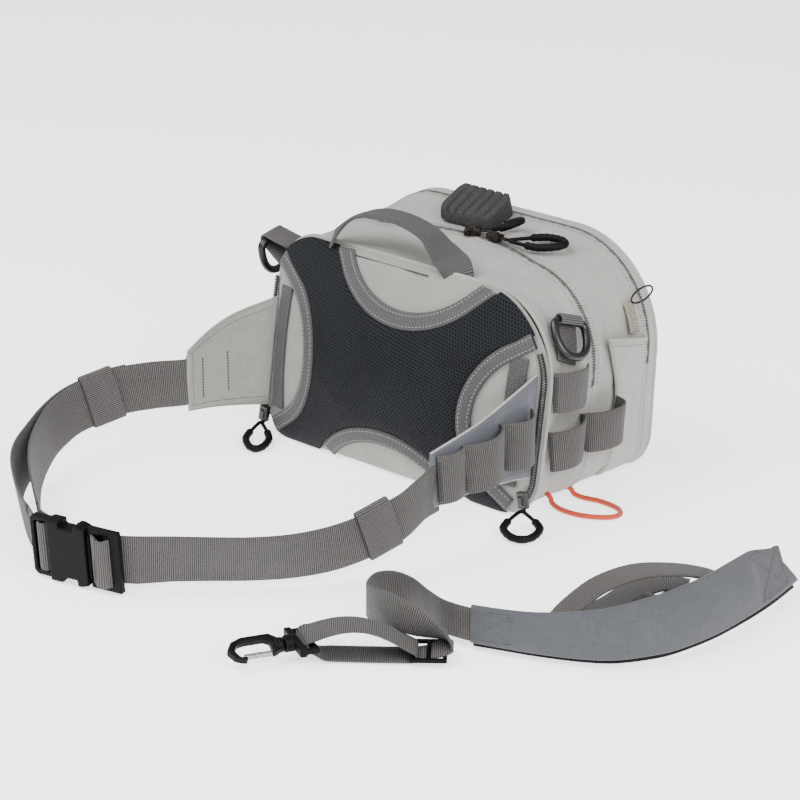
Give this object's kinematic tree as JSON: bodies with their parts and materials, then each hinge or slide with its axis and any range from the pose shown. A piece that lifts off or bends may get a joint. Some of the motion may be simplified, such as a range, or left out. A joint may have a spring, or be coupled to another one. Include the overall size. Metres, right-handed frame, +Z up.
{
  "type": "chest pack",
  "caption": "Soft zipped chest pack with a mesh back, waist wings and webbing belt closed by a side-release buckle, and its padded shoulder strap with snap hooks lying beside it.",
  "frame": {"origin": "centre of the pack's flat base", "axes": "+X to the wearer's left hand side of the pack as seen from its mesh back (right in the picture), +Y from the mesh back to the pack's front, +Z up"},
  "size_m": [0.5825, 0.4898, 0.2],
  "materials": {
    "oxford_cloth": "matt woven polyester",
    "panel_cloth": "matt woven polyester",
    "wing_cloth": "matt woven polyester",
    "spacer_mesh": "open knitted mesh",
    "binding_tape": "ribbed tape",
    "black_coil": "nylon coil",
    "beige_coil": "nylon coil",
    "bronze_metal": "dark bronze plating",
    "foam_rubber": "closed-cell foam",
    "orange_cord": "braided cord",
    "slate_cloth": "matt woven polyester",
    "bright_steel": "bright spring steel",
    "moulded_grip": "moulded grip",
    "black_plastic": "injection-moulded acetal",
    "grey_webbing": "ribbed webbing"
  },
  "bodies": {
    "pack": {"rear_gusset": "oxford_cloth", "main_zip": "binding_tape", "main_gusset": "oxford_cloth", "front_zip": "binding_tape", "front_pocket": "oxford_cloth", "back_panel": "panel_cloth", "mesh_pad": "spacer_mesh", "binding_top": "binding_tape", "binding_left": "binding_tape", "binding_bottom": "binding_tape", "binding_right": "binding_tape", "edge_tape_right": "binding_tape", "edge_tape_left": "binding_tape", "back_zip_right": "black_coil", "back_zip_left": "black_coil", "side_pocket_right": "oxford_cloth", "side_pocket_left": "oxford_cloth", "side_band_right": "grey_webbing", "side_loops_right": "grey_webbing", "side_band_left": "grey_webbing", "side_loops_left": "grey_webbing", "ring_tab_right": "grey_webbing", "ring_tab_left": "grey_webbing", "fly_patch": "foam_rubber", "grab_handle": "grey_webbing", "wing_right": "wing_cloth", "wing_left": "panel_cloth", "wing_loops_right": "grey_webbing", "wing_loops_left": "grey_webbing", "buckle_socket": "black_plastic", "buckle_plug": "black_plastic", "belt_left": "grey_webbing", "belt_right": "grey_webbing", "keeper_left": "grey_webbing", "keeper_right": "grey_webbing", "bottom_loop": "orange_cord", "slider_top_right": "bronze_metal", "pull_top_right": "moulded_grip", "slider_top_left": "bronze_metal", "pull_top_left": "moulded_grip", "slider_back_right": "bronze_metal", "pull_back_right": "moulded_grip", "slider_back_left": "bronze_metal", "pull_back_left": "moulded_grip", "front_zip_end": "beige_coil", "front_zip_pull": "bronze_metal", "shoulder_pad": "slate_cloth", "pad_backing": "spacer_mesh", "strap_left": "grey_webbing", "strap_right": "grey_webbing", "slide_left": "black_plastic", "hook_strap_left": "grey_webbing", "slide_right": "black_plastic", "hook_strap_right": "grey_webbing", "hook_base_left": "black_plastic", "hook_right": "black_plastic"},
    "left_ring": {"ring_left": "black_plastic"},
    "right_ring": {"ring_right": "black_plastic"},
    "hook": {"hook_left": "black_plastic"},
    "gate": {"hook_gate_left": "bright_steel"}
  },
  "joints": [
    {"name": "ring_left_swing", "type": "hinge", "parent": "pack", "child": "left_ring", "pos_m": [-0.163, -0.034, 0.15], "axis": [0, 0.9798, 0.2], "range_deg": [-20, 75]},
    {"name": "ring_right_swing", "type": "hinge", "parent": "pack", "child": "right_ring", "pos_m": [0.13537, -0.0215, 0.14385], "axis": [-0.2472, -0.9271, 0.2818], "range_deg": [0, 90]},
    {"name": "hook_left_swivel", "type": "hinge", "parent": "pack", "child": "hook", "pos_m": [0.17963, -0.36173, 0.0115], "axis": [-0.4472, -0.8944, 0], "continuous": true},
    {"name": "hook_left_gate", "type": "hinge", "parent": "hook", "child": "gate", "pos_m": [0.17684, -0.37968, 0.00892], "axis": [-0.378, 0.189, -0.9063], "range_deg": [0, 24], "stiffness_Nm_per_rad": 0.02, "springref_deg": -5.73}
  ]
}
